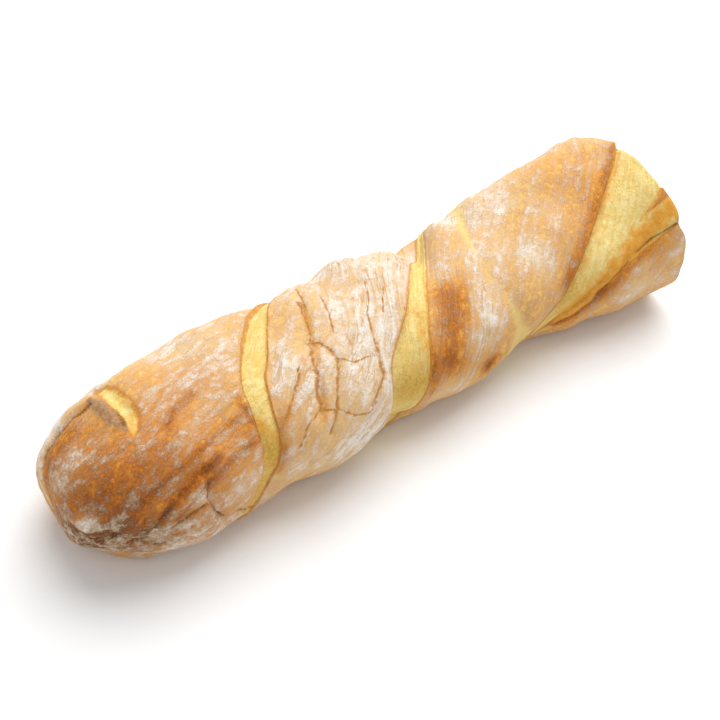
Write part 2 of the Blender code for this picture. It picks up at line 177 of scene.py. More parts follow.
# Where the dough swelled or sank: x, angle, reach along x, reach in degrees, height
BULGES = (
    (-144, 130, 9, 30, -2.5),
    (-138, -60, 14, 40, -4.0),
    (-118, -62, 8, 25, -2.0),
    (-66, -58, 14, 35, 2.0),
    (-47, -60, 7, 25, 1.2),
    (-4, -60, 8, 35, -3.5),
    (12, -58, 9, 35, 2.0),
    (42, -58, 8, 30, -6.0),
    (60, -64, 6, 30, 3.0),
    (70, -58, 8, 30, -3.5),
    (106, -64, 12, 30, -1.0),
    (136, -66, 10, 30, -2.0),
    (150, -60, 8, 30, -3.0),
    (150, -15, 8, 20, 1.2),
    (150, 36, 9, 28, 4.2),
    (150, 70, 8, 24, 2.2),
    (-122, 130, 9, 25, -1.2),
    (-138, 112, 12, 35, -7.0),
    (-116, 112, 12, 35, -3.0),
    (-82, 112, 8, 30, 1.5),
    (-55, 112, 12, 35, -1.5),
    (-18, 105, 7, 30, -1.5),
    (-4, 108, 8, 30, -5.5),
    (14, 112, 9, 30, -2.5),
    (40, 110, 10, 30, 1.0),
    (72, 110, 10, 30, 1.5),
    (100, 112, 7, 30, 0.8),
    (118, 112, 10, 35, 2.8),
)

# Creases deep enough to feel: reach, depth, points (x, angle)
CREASES = (
    (2.6, 1.6, ((-131, 100), (-124, 84), (-117, 68), (-108, 58), (-98, 56))),
    (2.2, 1.4, ((-98, 58), (-99, 72), (-97, 92), (-93, 104))),
    (2.2, 1.2, ((-118, 86), (-110, 80), (-103, 78))),
    (2.4, 1.8, ((-139, 80), (-134, 92), (-122, 98), (-112, 102))),
    (2.2, 1.1, ((-19, -32), (-25, -5), (-31, 12), (-37, 32), (-41, 58))),
    (2.0, 0.9, ((-31, 12), (-25, 34), (-33, 55), (-42, 74))),
    (2.2, 1.4, ((148, 59), (136, 65), (122, 76), (108, 92))),
    (2.4, 1.6, ((-146, -46), (-138, -44), (-128, -39), (-121, -29))),
)

# A flap of crust near the rounded end, and the split that opened beside it: reach, height, points
FLAP = (3.0, 2.2, ((-120, -32), (-117.5, -15), (-116.5, 0)))
SPLIT = (3.2, -2.4, ((-114, -47), (-112, -32), (-111, -15), (-110.5, 0), (-113, 9)))

# Round lumps on the end: x, angle, reach, height
KNOBS = (
    (-145.5, 62, 5.5, 3.4),
    (-136, 108, 7.0, 2.4),
)

# Soft unevenness of the whole loaf: seed, count, shortest and longest wave
LUMPS = (11, 24, 26.0, 70.0)
LUMP_HEIGHT = 0.8

# The knife tore the crust back a little at the cut: angle, reach in degrees, length torn off
TORN = (
    (-46, 16, 3.0),
    (61, 5, 2.0),
    (104, 16, 0.5),
    (165, 20, 1.5),
    (235, 12, 2.0),
)
TORN_REACH = 22.0

# The finer grid of the crust: rings along it, and columns in each stretch between the seams' edges
TIP_RINGS = 42
BODY_RINGS = 290
RING_SPACING = (CUT_X - TIP_X - TIP_ROUND) / BODY_RINGS
FIRST_RING_TURN = 0.06
WIDE_SEAM_COLUMNS = 18
NARROW_SEAM_COLUMNS = 16
LOBE_COLUMNS = 98

# Coordinates that follow the twist: their radius, their stretch along the loaf, and the x past which they
# turn evenly instead, by this many degrees for each millimetre
STRAND_RADIUS = 38.0
STRAND_STRETCH = 0.3
STRAND_END_X = -55.0
STRAND_END_TURN = -0.5

# Wrinkles that follow the twist, and small pimples: seed, count, shortest and longest wave
WRINKLES = (5, 40, 5.0, 12.0)
PIMPLES = (6, 50, 5.0, 9.0)
WRINKLE_HEIGHT = 0.12
PIMPLE_HEIGHT = 0.08

# Fine relief has its full height once the rounded end has grown to this share of the section.
FINE_FULL_SHARE = 0.5

# Thickness of the crust at the cut, and the depth of the hollow that holds the crumb
CRUST_THICKNESS = 2.2
CRUMB_DEPTH = 11.0
CRUMB_OVERLAP = 0.15

# The crust's edge at the cut: how far back and how far in each of its rings lies. The wall behind it follows
# every second ring of the crust.
TORN_EDGE = ((0.15, 0.7), (0.4, CRUST_THICKNESS))
FIRST_WALL_RING = 3
WALL_RING_STEP = 2

# Cracks in the flour: width, points (x, angle)
CRACKS = (
    (0.7, ((-22, -25), (-25, -8), (-27, 4), (-31, 14))),
    (1.1, ((-31, 14), (-34, 24), (-36, 36), (-40, 46), (-42, 58))),
    (0.9, ((-40, 22), (-46, 36), (-52, 45), (-60, 56))),
    (0.8, ((-31, 10), (-27, 16), (-25, 28), (-25, 35), (-30, 46), (-35, 60), (-42, 73))),
    (0.5, ((-25, 33), (-19, 41), (-12, 42), (-5, 46))),
    (0.6, ((-42, 57), (-35, 62), (-29, 70), (-22, 74), (-18, 70))),
    (0.9, ((-5, 33), (-7, 46), (-10, 58), (-20, 70))),
    (0.5, ((9, -14), (4, 4), (-1, 14), (-4, 28))),
    (0.5, ((14, -2), (9, 10), (6, 18))),
    (0.6, ((-16, -44), (-19, -28), (-22, -14))),
    (0.5, ((-12, -20), (-15, -2), (-19, 14))),
    (0.6, ((-57, 74), (-50, 62), (-43, 57))),
)

# Depth of their grooves, and their reach in widths of the line
CRACK_DEPTH = 0.35
CRACK_REACH = 1.8
DARK_LINE_DEPTH = 0.5
DARK_LINE_REACH = 2.2

# Keeps a division by a length from failing.
SMALLEST = 1e-9


def smooth_curve(x, points, column):
    """A smooth line through a column of a table, with x in its first column."""
    table = np.array(points, float)
    xs, ys = table[:, 0], table[:, column]
    slope = np.gradient(ys, xs)
    x = np.clip(x, xs[0], xs[-1])
    i = np.clip(np.searchsorted(xs, x) - 1, 0, len(xs) - 2)
    step = xs[i + 1] - xs[i]
    t = (x - xs[i]) / step
    start = (1 + 2 * t) * (1 - t) ** 2 * ys[i] + t * (1 - t) ** 2 * step * slope[i]
    end = t * t * (3 - 2 * t) * ys[i + 1] + t * t * (t - 1) * step * slope[i + 1]
    return start + end


def value_at(angle, table, column):
    """A column of a table between its rows, with the angle in the first column."""
    table = np.array(table, float)
    return np.interp(angle, table[:, 0], table[:, column])


def bell(offset, reach):
    return np.exp(-((offset / reach) ** 2))


def edge_angles(x, seam):
    """The angles at which a ring at x meets the seam's left and right edges."""
    angles = np.arange(seam[0][0], seam[-1][0] + 1, SEAM_STEP)
    found = []
    for column in (1, 2):
        along = value_at(angles, seam, column)
        half = SEAM_ROUNDING // 2
        padded = np.pad(along, half, mode="reflect", reflect_type="odd")
        along = np.convolve(padded, np.ones(SEAM_ROUNDING) / SEAM_ROUNDING, mode="valid")
        along = np.minimum.accumulate(along - SEAM_DRIFT * np.arange(len(along)))
        found.append(np.interp(x, along[::-1], angles[::-1]))
    return found


def base_radius(x, angle):
    """The plain section's radius round its centre."""
    half_width = smooth_curve(x, STATIONS, 1)
    height = smooth_curve(x, STATIONS, 2)
    side = np.abs(np.sin(np.radians(angle))) / half_width
    up = np.cos(np.radians(angle))
    rise = np.abs(up) / (np.where(up > 0, CROWN_SHARE, BELLY_SHARE) * height)
    return (side**SECTION_POWER + rise**SECTION_POWER) ** (-1 / SECTION_POWER)


def end_share(x):
    """How much of the full section is left near the rounded end."""
    in_from_tip = np.clip((x - TIP_X) / TIP_ROUND, 0, 1)
    return (1 - (1 - in_from_tip) ** TIP_POWER) ** (1 / TIP_POWER)


def seam_place(x, angle, seam, radius):
    """Where a point lies across a seam: the distances before and after it, its share, the seam's angle."""
    left, right = edge_angles(x, seam)
    middle = (left + right) / 2
    angle = angle + 360 * np.round((middle - angle) / 360)
    before = np.radians(left - angle) * radius
    after = np.radians(angle - right) * radius
    across = np.clip((angle - left) / np.maximum(right - left, NARROWEST_SEAM), 0, 1)
    return before, after, across, middle


def seam_relief(x, angle, seam, radius):
    """The seam's valley, its sunken floor and the lips beside it."""
    before, after, across, middle = seam_place(x, angle, seam, radius)
    outside = np.maximum(np.maximum(before, after), 0)
    valley, left_step, right_step, swell = (value_at(middle, seam, k) for k in (3, 4, 5, 6))
    swell = swell * np.sin(math.pi * across)
    sunken = swell - (left_step + (right_step - left_step) * across)
    step = np.where(before > 0, left_step, right_step)
    lips = LIP_SHARE * step * bell(outside, LIP_SPREAD)
    return np.where(outside > 0, lips, sunken) - valley * bell(outside, VALLEY_SPREAD)


def turn_from(angle, at_angle):
    return (angle - at_angle + 180) % 360 - 180


def patches(x, angle, places):
    """Soft patches, summed: each is x, angle, reach along x, reach in degrees, amount."""
    total = np.zeros(np.broadcast(x, angle).shape)
    for at_x, at_angle, reach_x, reach_angle, amount in places:
        turn = turn_from(angle, at_angle)
        total += amount * np.exp(-(((x - at_x) / reach_x) ** 2) - (turn / reach_angle) ** 2)
    return total


def angle_at_fold(angle):
    """The angle, turned to lie within the fold's tables."""
    return (angle - FOLD_FIRST_ANGLE) % 360 + FOLD_FIRST_ANGLE


def fold_place(x, angle):
    """The distance along x from the shallow fold, with the fold's reach and depth there."""
    fold_x, reach, depth = (value_at(angle_at_fold(angle), FOLD, k) for k in (1, 2, 3))
    return x - fold_x, reach, depth


def swelling(x, angle):
    """The bulges and the shallow fold, which change the outline."""
    off, reach, depth = fold_place(x, angle)
    return patches(x, angle, BULGES) - depth * bell(off, reach)


def centre_line(x):
    """The section's centre: its sideways place and its height."""
    sink = 1 - TIP_SINK * (1 - end_share(x))
    return smooth_curve(x, STATIONS, 3), CENTRE_HEIGHT * smooth_curve(x, STATIONS, 2) * sink


def above_floor(x, angle):
    """Falls from 1 to 0 where the plain form comes down to the floor."""
    z = centre_line(x)[1] + base_radius(x, angle) * end_share(x) * np.cos(np.radians(angle))
    rise = np.clip(z / FLOOR_BLEND, 0, 1)
    return rise * rise * (3 - 2 * rise)


def skin(x, angle, relief_share=1.0):
    """Points of the crust, before its creases and lumps."""
    radius = base_radius(x, angle)
    relief = swelling(x, angle)
    for seam in (FAR_SEAM, MID_SEAM):
        relief = relief + seam_relief(x, angle, seam, radius)
    radius = (radius + relief * relief_share * above_floor(x, angle)) * end_share(x)
    y, z = centre_line(x)
    turn = np.radians(angle)
    return np.stack([x + 0 * radius, y - radius * np.sin(turn), z + radius * np.cos(turn)], -1)


def skin_point(x, angle):
    return skin(np.array(float(x)), np.array(float(angle)))


def waves(points, seed, count, shortest, longest):
    """Waves of many directions and lengths, summed to a spread of about one."""
    draw = np.random.default_rng(seed)
    total = np.zeros(points.shape[:-1])
    for _ in range(count):
        way = draw.normal(size=3)
        way *= 2 * math.pi / (np.linalg.norm(way) * draw.uniform(shortest, longest))
        total += np.sin(points @ way + draw.uniform(0, 2 * math.pi))
    return total / math.sqrt(count / 2)


def nearest_on_path(points, path):
    """The way from each point to the nearest place on a line through path's points."""
    best = np.full(points.shape[:-1], np.inf)
    offset = np.zeros(points.shape)
    for start, end in zip(path[:-1], path[1:]):
        way = end - start
        along = np.clip(((points - start) @ way) / (way @ way), 0, 1)
        here = start + along[..., None] * way - points
        far = np.linalg.norm(here, axis=-1)
        closer = far < best
        best = np.where(closer, far, best)
        offset = np.where(closer[..., None], here, offset)
    return best, offset


def fine_relief(points):
    """Lumps, knobs and creases, as heights along the surface's normal."""
    height = LUMP_HEIGHT * waves(points, *LUMPS)
    for at_x, at_angle, reach, rise in KNOBS:
        far = np.linalg.norm(points - skin_point(at_x, at_angle), axis=-1)
        height += rise * bell(far, reach)
    creases = [(reach, -depth, places) for reach, depth, places in CREASES]
    for reach, rise, places in (*creases, FLAP, SPLIT):
        far, _ = nearest_on_path(points, [skin_point(*place) for place in places])
        height += rise * bell(far, reach)
    return height


def ring_places():
    """Where the rings lie along x: close together where the end rounds off."""
    turn = np.linspace(FIRST_RING_TURN, math.pi / 2, TIP_RINGS)
    tip = TIP_X + TIP_ROUND * (1 - np.cos(turn))
    return np.concatenate([tip, np.linspace(tip[-1], CUT_X, BODY_RINGS + 1)[1:]])


def seam_columns(left, right, count, radius):
    """Angles across a seam: a wall on each edge, and count stretches between the walls."""
    wall = math.degrees(LIP_WALL / 2 / radius)
    inner = np.linspace(left + wall, right - wall, count + 1) if right - left > 3 * wall else None
    if inner is None:
        middle = (left + right) / 2
        inner = np.linspace(middle - wall / 4, middle + wall / 4, count + 1)
    return [min(left, inner[0]) - wall, *inner, max(right, inner[-1]) + wall]


def ring_angles(x):
    """The angles of one ring's columns, which follow both seams."""
    far_left, far_right = edge_angles(x, FAR_SEAM)
    mid_left, mid_right = edge_angles(x, MID_SEAM)
    radius = float(base_radius(x, 90.0) * end_share(x))
    mid = seam_columns(mid_left, mid_right, NARROW_SEAM_COLUMNS, radius)
    far = seam_columns(far_left, far_right, WIDE_SEAM_COLUMNS, radius)
    first_lobe = np.linspace(mid[-1], far[0], LOBE_COLUMNS + 1)[1:-1]
    second_lobe = np.linspace(far[-1], mid[0] + 360, LOBE_COLUMNS + 1)[1:-1]
    return np.array([*mid, *first_lobe, *far, *second_lobe])


def outward_normals(grid):
    """Unit normals of a grid of rings, closed round each ring."""
    along = np.gradient(grid, axis=0)
    round_ring = np.roll(grid, -1, axis=1) - np.roll(grid, 1, axis=1)
    normal = np.cross(round_ring, along)
    return normal / np.maximum(np.linalg.norm(normal, axis=-1, keepdims=True), SMALLEST)


def torn_back(x, angle):
    """How far the rim is pulled back from the cut."""
    total = np.zeros(np.broadcast(x, angle).shape)
    for at_angle, reach, length in TORN:
        total += length * bell(turn_from(angle, at_angle), reach)
    return total * np.clip(1 + (x - CUT_X) / TORN_REACH, 0, 1) ** 2


# The surface's marks

# How far a seam's angle goes before its pale stripe has closed again, and over how many degrees it closes
FAR_STRIPE_END = (480.0, 30.0)
MID_STRIPE_END = (298.0, 14.0)
STRIPE_CLOSING = 8.0

# How much wider than its seam a stripe looks on each side, or narrower below zero: angle, width
FAR_STRIPE_SPILL = (
    (405, 0.0),
    (430, -0.9),
)
MID_STRIPE_SPILL = (
    (-120, 1.0),
    (-60, 3.0),
    (-30, 3.0),
    (0, 1.8),
    (20, 1.0),
    (40, 0.0),
)

# How finely lines are laid on the crust, and how far from a line its mark starts to grow, in widths
PATH_PIECES = 4
LINE_CORE = 1.0

# The pale crescent at the rounded end, the baked side of the far split, and the loose flap beside the
# crescent, whose grey-brown is its floured edge with painted shade on its rolled side: angle, x of the middle,
# half width
CRESCENT_MARK = (
    (-64, -114.0, -5.0),
    (-50, -113.5, 0.0),
    (-40, -112.5, 2.4),
    (-28, -111.8, 3.4),
    (-15, -111.2, 4.0),
    (0, -111.6, 3.6),
    (8, -113.0, 2.0),
    (14, -115.0, 0.0),
    (26, -117.0, -5.0),
)
BAKED_SPLIT_MARK = (
    (30, 166.0, -10.0),
    (48, 149.0, 11.0),
    (58, 138.5, 12.5),
    (66, 128.0, 10.0),
    (76, 116.0, 7.0),
    (92, 101.0, 6.5),
    (104, 91.0, 3.0),
    (116, 82.0, -4.0),
)
FLAP_AND_SHADE_MARK = (
    (-48, -121.0, -4.0),
    (-38, -120.0, 0.5),
    (-28, -119.3, 2.4),
    (-14, -118.0, 3.1),
    (-2, -117.0, 2.9),
    (5, -116.3, 1.6),
    (10, -116.0, 0.0),
    (20, -115.0, -4.0),
)

# The shallow fold shows a faint pale stripe: angle, half width
FOLD_STRIPE = (
    (-110, 4.0),
    (-60, 3.8),
    (-30, 2.6),
    (0, 1.8),
    (20, 0.0),
    (45, 0.0),
    (60, 1.8),
    (80, 3.0),
    (95, 7.0),
    (115, 9.0),
    (150, 3.0),
    (180, 0.0),
)

# Painted shade in the creases and under steps of the crust, drawn as dark lines: width, points (x, angle)
CREASE_SHADE_LINES = (
    (1.0, ((-147, -48), (-138, -44), (-128, -39), (-121, -30))),
    (0.8, ((-114.6, -14), (-114.2, -4), (-115.4, 4))),
    (1.3, ((-150, 72), (-144, 76), (-138, 78), (-134, 79))),
    (0.6, ((-138, 96), (-130, 100), (-120, 103))),
    (0.9, ((-133, 102), (-130, 92), (-127, 84), (-121, 74))),
    (0.6, ((-127, 68), (-128, 76), (-131, 82))),
    (0.7, ((-98, 64), (-100, 74), (-98, 88), (-95, 96))),
    (0.7, ((-117, 86), (-110, 81), (-102, 78))),
    (0.6, ((-88, 98), (-84, 104), (-80, 110))),
    (0.5, ((149, 59), (138, 64), (129, 70))),
    (0.4, ((124, 74), (116, 82), (108, 92))),
)

# Soft brown bands along pleats and beside the splits: reach, amount, points (x, angle)
BROWN_BANDS = (
    (2.2, 0.26, ((-131, 94), (-127, 82), (-119, 71), (-110, 63), (-102, 58), (-90, 54))),
    (1.5, 0.2, ((-114, 78), (-104, 68), (-94, 62), (-82, 58), (-70, 56))),
    (1.5, 0.16, ((-124, 56), (-112, 50), (-98, 46), (-84, 40), (-72, 38))),
    (2.0, 0.18, ((-102, 22), (-96, 12), (-86, 8))),
    (1.8, 0.25, ((-70, 30), (-70, 44), (-64, 58), (-62, 72), (-66, 88))),
    (1.4, 0.16, ((-60, 56), (-50, 44), (-42, 34), (-37, 22))),
    (1.4, 0.2, ((-42, 62), (-36, 42), (-30, 20), (-26, 0), (-22, -20))),
    (1.2, 0.14, ((-20, 72), (-11, 60), (-6, 46), (-4, 30))),
    (4.0, 0.28, ((147, -10), (134, 10), (121, 30), (107, 50), (94, 70))),
    (5.5, 0.62, ((156, 44), (141, 55), (129, 65), (116, 77), (102, 92), (91, 104))),
    (2.6, 0.24, ((19, 34), (16, 54), (14, 74), (13, 92))),
)

# Where the crust baked darker, with some rows of painted shade on the underside of the rounded end, and where
# flour lay or is missing: x, angle, reach, reach in degrees, amount
BROWNED_AND_SHADED = (
    (-140, 42, 30, 52, 0.48),
    # Painted shade on the underside of the rounded end, made as extra browning
    (-142, 76, 14, 16, 0.42),
    (-122, 82, 14, 18, 0.1),
    (-142, -22, 15, 26, 0.3),
    (-98, 44, 26, 36, 0.26),
    (-84, 2, 22, 26, 0.2),
    (-73, 50, 7, 11, 0.2),
    (-128, 104, 28, 14, 0.3),
    (-96, 96, 20, 14, 0.2),
    (22, 72, 10, 14, 0.28),
    (28, 52, 8, 14, 0.22),
    (37, 32, 10, 20, 0.28),
    (46, 97, 5, 8, 0.42),
    (40, 82, 12, 12, 0.12),
    (116, 14, 10, 20, 0.12),
    (130, -6, 12, 20, 0.12),
    (138, 76, 15, 10, 0.1),
    (110, 94, 12, 8, 0.15),
    (94, 62, 7, 14, 0.1),
    # Painted shade on the underside of the rounded end, made as extra browning
    (-134, 92, 24, 16, 0.24),
    (-118, 130, 34, 18, 0.25),
    (-78, -8, 10, 14, 0.12),
    (-50, 50, 10, 14, 0.12),
    (-86, 70, 16, 14, 0.15),
    (-110, 92, 16, 12, 0.15),
    (-147, 100, 8, 26, 0.35),
    (-136, 116, 18, 12, 0.3),
    (-149, 172, 10, 60, 0.36),
)
FLOURED = (
    (2, 0, 30, 62, 0.5),
    (24, -24, 12, 26, 0.42),
    (-22, -34, 9, 18, 0.12),
    (-2, -34, 7, 14, -0.15),
    (-12, 38, 22, 28, 0.36),
    (-36, 34, 12, 30, 0.25),
    (-40, 92, 34, 18, 0.55),
    (-76, -14, 17, 28, 0.26),
    (-64, -34, 12, 18, 0.26),
    (-84, 18, 14, 18, 0.2),
    (-46, 30, 9, 36, 0.22),
    (-80, 77, 9, 11, 0.42),
    (-132, -62, 22, 15, 1.0),
    (-92, -58, 28, 12, 0.6),
    (-143, 6, 8, 17, 0.24),
    (-145, 61, 4, 8, 0.7),
    # Kept thin so that the underside of the rounded end stays darker: painted shade
    (-146, 104, 14, 18, 0.1),
    (46, 97, 5, 8, -0.6),
    (-50, 34, 9, 20, 0.2),
    (-112, 97, 24, 14, 0.35),
    (-104, 71, 5, 7, 0.3),
    (58, 14, 9, 30, 0.26),
    (50, 54, 8, 14, 0.42),
    (74, 4, 9, 30, 0.36),
    (85, 30, 8, 11, 0.36),
    (70, -42, 12, 20, 0.4),
    (92, -34, 14, 20, 0.25),
    (103, 8, 13, 15, 0.2),
    (136, -6, 8, 7, 0.3),
    (150, -30, 8, 20, 0.2),
    (86, 52, 8, 9, 0.24),
    (43, 74, 8, 9, 0.32),
    (24, 99, 10, 9, 0.35),
    (126, 96, 16, 8, 0.5),
    (147, 78, 6, 9, 0.4),
    (24, -54, 60, 15, 0.4),
    (100, -62, 60, 13, 0.3),
    (0, 180, 150, 50, 0.3),
    (37, 31, 9, 18, -0.5),
    (23, 69, 9, 13, -0.6),
    (29, 50, 7, 12, -0.35),
    (40, 66, 5, 6, 0.35),
    (-126, 46, 26, 24, -0.2),
    (-138, -28, 12, 13, -0.3),
    (132, 68, 16, 10, -0.2),
    (106, 88, 10, 8, -0.2),
    (42, -16, 8, 40, 0.28),
    (-76, -38, 24, 16, 0.12),
    (-62, 8, 8, 14, 0.2),
    (-93, 30, 9, 10, 0.16),
    (147, -44, 10, 14, 0.2),
    (-112, 132, 30, 24, 0.4),
    (42, -40, 8, 16, 0.2),
    (-44, 12, 8, 22, 0.25),
    (-16, 60, 12, 14, 0.25),
    (-22, 84, 14, 12, 0.3),
    (49, 52, 4, 14, 0.45),
    (65, 20, 4, 16, 0.3),
    (83, 39, 6, 10, 0.45),
    (55, 37, 4, 10, 0.3),
    (89, -17, 8, 8, 0.4),
    (127, 80, 8, 5, 0.35),
)

# Where the pale dough in the splits is duller and greyer: partly its own colour, partly painted shade low on
# the front
DULLED_AND_SHADED = (
    (5, 80, 14, 18, 0.85),
    (-66, 70, 8, 18, 0.9),
    (-78, 98, 12, 16, 0.7),
    (92, 82, 14, 16, 0.6),
)


def stripe_inside(x, angle, seam, end, spill):
    """How far inside a seam's stripe each point lies: below zero on the crust beside it."""
    radius = base_radius(x, angle) * end_share(x)
    before, after, _, middle = seam_place(x, angle, seam, radius)
    closed = np.clip((middle - end[0]) / end[1], 0, 1) * STRIPE_CLOSING
    return value_at(middle, spill, 1) - np.maximum(before, after) - closed


def ribbon_inside(x, angle, ribbon):
    """How far inside a ribbon across the loaf each point lies, along x."""
    middle, half_width = (value_at(turn_from(angle, 0), ribbon, k) for k in (1, 2))
    return half_width - np.abs(x - middle)


def split_inside(x, angle):
    """How far inside any pale split each point lies."""
    far_stripe = stripe_inside(x, angle, FAR_SEAM, FAR_STRIPE_END, FAR_STRIPE_SPILL)
    mid_stripe = stripe_inside(x, angle, MID_SEAM, MID_STRIPE_END, MID_STRIPE_SPILL)
    ribbons = [ribbon_inside(x, angle, ribbon) for ribbon in (CRESCENT_MARK, BAKED_SPLIT_MARK)]
    return np.maximum.reduce([far_stripe, mid_stripe, *ribbons])


def fold_inside(x, angle):
    """How far inside the fold's faint stripe each point lies."""
    off, _, _ = fold_place(x, angle)
    return value_at(angle_at_fold(angle), FOLD_STRIPE, 1) - np.abs(off)


def strand_coordinates(x, angle):
    """Coordinates that follow the twist: two round the loaf, and one along it."""
    left, right = edge_angles(np.maximum(x, STRAND_END_X), MID_SEAM)
    twist = (left + right) / 2 + STRAND_END_TURN * np.minimum(x - STRAND_END_X, 0)
    turn = np.radians(angle - twist)
    radius = STRAND_RADIUS * end_share(x)
    return np.stack([radius * np.cos(turn), radius * np.sin(turn), x + 0 * turn], -1)


def path_points(places):
    """A line on the crust, through places given as (x, angle), with extra points between them."""
    table = np.array(places, float)
    along = np.arange(len(table))
    fine = np.linspace(0, len(table) - 1, (len(table) - 1) * PATH_PIECES + 1)
    x, angle = (np.interp(fine, along, table[:, k]) for k in (0, 1))
    return skin(x, angle)


def line_offsets(points, normals, lines):
    """The way along the surface from each point to the nearest of the lines, in widths of that line."""
    best = np.full(points.shape[:-1], np.inf)
    offset = np.zeros(points.shape)
    for width, places in lines:
        far, way = nearest_on_path(points, path_points(places))
        closer = far / width < best
        best = np.where(closer, far / width, best)
        offset = np.where(closer[..., None], way / width, offset)
    return offset - (offset * normals).sum(-1, keepdims=True) * normals


def line_mark(offset, normals):
    """The offset's parts along and round the loaf, and a third that keeps it long away from a line."""
    along = np.array([1.0, 0.0, 0.0]) - normals * normals[..., :1]
    along /= np.maximum(np.linalg.norm(along, axis=-1, keepdims=True), SMALLEST)
    around = np.cross(normals, along)
    clear = np.maximum(np.linalg.norm(offset, axis=-1) - LINE_CORE, 0)
    return np.stack([(offset * along).sum(-1), (offset * around).sum(-1), clear], -1)


def brown_bands(points):
    """How much the soft bands brown each point."""
    most = np.zeros(points.shape[:-1])
    for reach, amount, places in BROWN_BANDS:
        far, _ = nearest_on_path(points, path_points(places))
        most = np.maximum(most, amount * bell(far, reach))
    return most


def crust_grid():
    """The crust's rings, with the underside flat on the floor, and the marks of each point."""
    places = ring_places()
    angles = np.array([ring_angles(x) for x in places])
    places = places[:, None] + 0 * angles
    plain = skin(places, angles)
    normals = outward_normals(skin(places, angles, relief_share=0.0))
    cracks = line_offsets(plain, normals, CRACKS)
    crease_shades = line_offsets(plain, normals, CREASE_SHADE_LINES)
    strand = strand_coordinates(places, angles)
    fine = fine_relief(plain)
    fine -= CRACK_DEPTH * bell(np.linalg.norm(cracks, axis=-1), CRACK_REACH)
    fine -= DARK_LINE_DEPTH * bell(np.linalg.norm(crease_shades, axis=-1), DARK_LINE_REACH)
    fine += WRINKLE_HEIGHT * waves(strand * (1, 1, STRAND_STRETCH), *WRINKLES)
    fine += PIMPLE_HEIGHT * waves(plain, *PIMPLES)
    fine = fine * above_floor(places, angles) * np.clip(end_share(places) / FINE_FULL_SHARE, 0, 1)
    grid = plain + normals * fine[..., None]
    grid[-1, :, 0] = CUT_X
    grid[..., 0] -= torn_back(places, angles)
    grid[..., 2] = np.maximum(grid[..., 2], 0)
    bands = brown_bands(plain)
    marks = {
        "split": split_inside(places, angles),
        "fold": fold_inside(places, angles),
        "flap_and_shade": ribbon_inside(places, angles, FLAP_AND_SHADE_MARK),
        "strand": strand,
        "browned_and_shaded": patches(places, angles, BROWNED_AND_SHADED) + bands,
        "floured": patches(places, angles, FLOURED) - bands,
        "dulled_and_shaded": patches(places, angles, DULLED_AND_SHADED),
        "crack": line_mark(cracks, normals),
        "crease_shade": line_mark(crease_shades, normals),
        "cut": 0 * places,
    }
    return grid, marks


def section_middle(x):
    y, z = centre_line(np.array(x))
    return float(y), float(z)


def inset(ring, depth, by):
    """A ring pulled in towards the middle of the section, and set back from the cut."""
    middle = np.array([0.0, *section_middle(CUT_X)])
    out = (ring - middle) * (0, 1, 1)
    line = middle + out * (1 - by / np.linalg.norm(out, axis=1, keepdims=True))
    line[:, 0] = ring[:, 0] - depth
    return line


def hollow_rings(grid):
    """The inside of the crust at the cut: its torn edge, and the wall that holds the crumb."""
    rings = [inset(grid[-1], back, inwards) for back, inwards in TORN_EDGE]
    for back in range(FIRST_WALL_RING, int(CRUMB_DEPTH / RING_SPACING), WALL_RING_STEP):
        rings.append(inset(grid[-1 - back], 0.0, CRUST_THICKNESS))
    return rings


def add_attribute(mesh, name, values):
    kind = "FLOAT_VECTOR" if values.ndim == 2 else "FLOAT"
    made = mesh.attributes.new(name, kind, "POINT")
    made.data.foreach_set("vector" if values.ndim == 2 else "value", values.astype(np.float32).ravel())


def add_object(name, data):
    made = bpy.data.objects.new(name, data)
    bpy.context.scene.collection.objects.link(made)
    return made


def mesh_from(name, points, faces):
    mesh = bpy.data.meshes.new(name)
    mesh.from_pydata((np.asarray(points) + FRAME_SHIFT) * MM, [], faces)
    mesh.validate()
    mesh.shade_smooth()
    return mesh


def make_crust():
    grid, marks = crust_grid()
    hollow = hollow_rings(grid)
    rows = np.concatenate([grid, np.array(hollow)])
    count = rows.shape[1]
    tip = [TIP_X, *section_middle(TIP_X)]
    back = rows[-1].mean(axis=0)
    points = np.concatenate([rows.reshape(-1, 3), [tip, back]])
    faces = []
    for r in range(len(rows) - 1):
        for k in range(count):
            after = (k + 1) % count
            faces.append((r * count + k, r * count + after, (r + 1) * count + after, (r + 1) * count + k))
    last = (len(rows) - 1) * count
    for k in range(count):
        after = (k + 1) % count
        faces.append((len(points) - 2, after, k))
        faces.append((last + k, last + after, len(points) - 1))
    mesh = mesh_from("loaf_crust", points, faces)
    for name, values in marks.items():
        inner = np.repeat(values[-1:], len(hollow), axis=0)
        if name == "cut":
            inner = inner + 1
        whole = np.concatenate([values, inner])
        flat = whole.reshape(-1, 3) if whole.ndim == 3 else whole.ravel()
        add_attribute(mesh, name, np.concatenate([flat, flat[:1], flat[-1:]]))
    return add_object("loaf_crust", mesh), grid


# Bubbles that the knife opened in the crumb: y, z, half size across, half size up, depth, tilt
BUBBLES = (
    (6.0, 24.0, 10.5, 8.0, 4.5, 12),
    (-24.0, 22.5, 5.2, 6.8, 4.5, -28),
    (25.0, 41.0, 5.0, 4.4, 4.2, 30),
    (-11.0, 45.0, 2.8, 5.2, 3.4, -8),
    (3.5, 46.5, 2.6, 4.6, 3.0, 6),
    (29.5, 27.0, 3.6, 2.6, 3.0, 0),
    (-27.0, 37.0, 3.2, 2.2, 2.8, 24),
    (-8.5, 30.5, 2.4, 3.8, 2.6, -20),
    (17.5, 12.0, 3.4, 2.0, 2.6, -10),
    (-13.0, 12.5, 3.8, 2.2, 2.8, 8),
    (14.0, 51.5, 3.0, 2.2, 2.6, -20),
    (19.0, 31.5, 2.2, 3.2, 2.4, 14),
)

